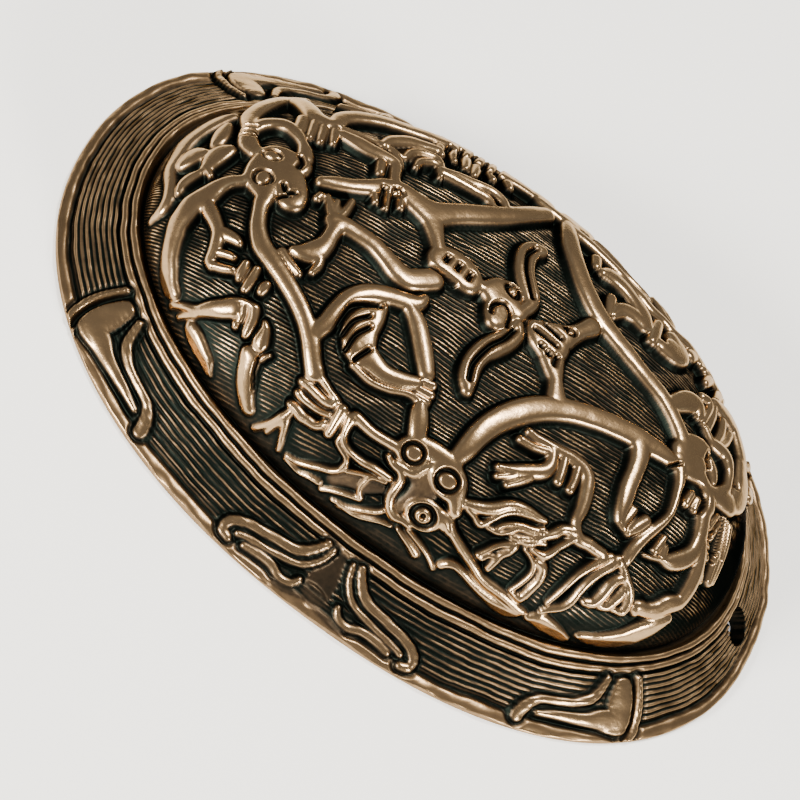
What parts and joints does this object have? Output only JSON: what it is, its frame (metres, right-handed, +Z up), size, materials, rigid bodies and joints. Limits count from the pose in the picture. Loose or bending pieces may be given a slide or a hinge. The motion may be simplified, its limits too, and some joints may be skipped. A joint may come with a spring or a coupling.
{
  "type": "oval tortoise brooch",
  "caption": "Oval domed brooch: a hollow bronze casting with raised interlaced beasts, a ridged sloping rim with masks and a chain hole, and a plain pin across the hollow.",
  "frame": {"origin": "centre of the rim, on the surface that the rim rests on", "axes": "+X along the brooch towards the end with the chain hole, +Y across it, +Z up through the dome"},
  "size_m": [0.11, 0.0836, 0.0233],
  "materials": {
    "cast_bronze": "aged bronze, rubbed bright on the relief and blue-black in the sunk ground",
    "pin_metal": "plain dull bronze"
  },
  "bodies": {
    "root": {"shell": "cast_bronze", "pin": "pin_metal"}
  },
  "joints": []
}
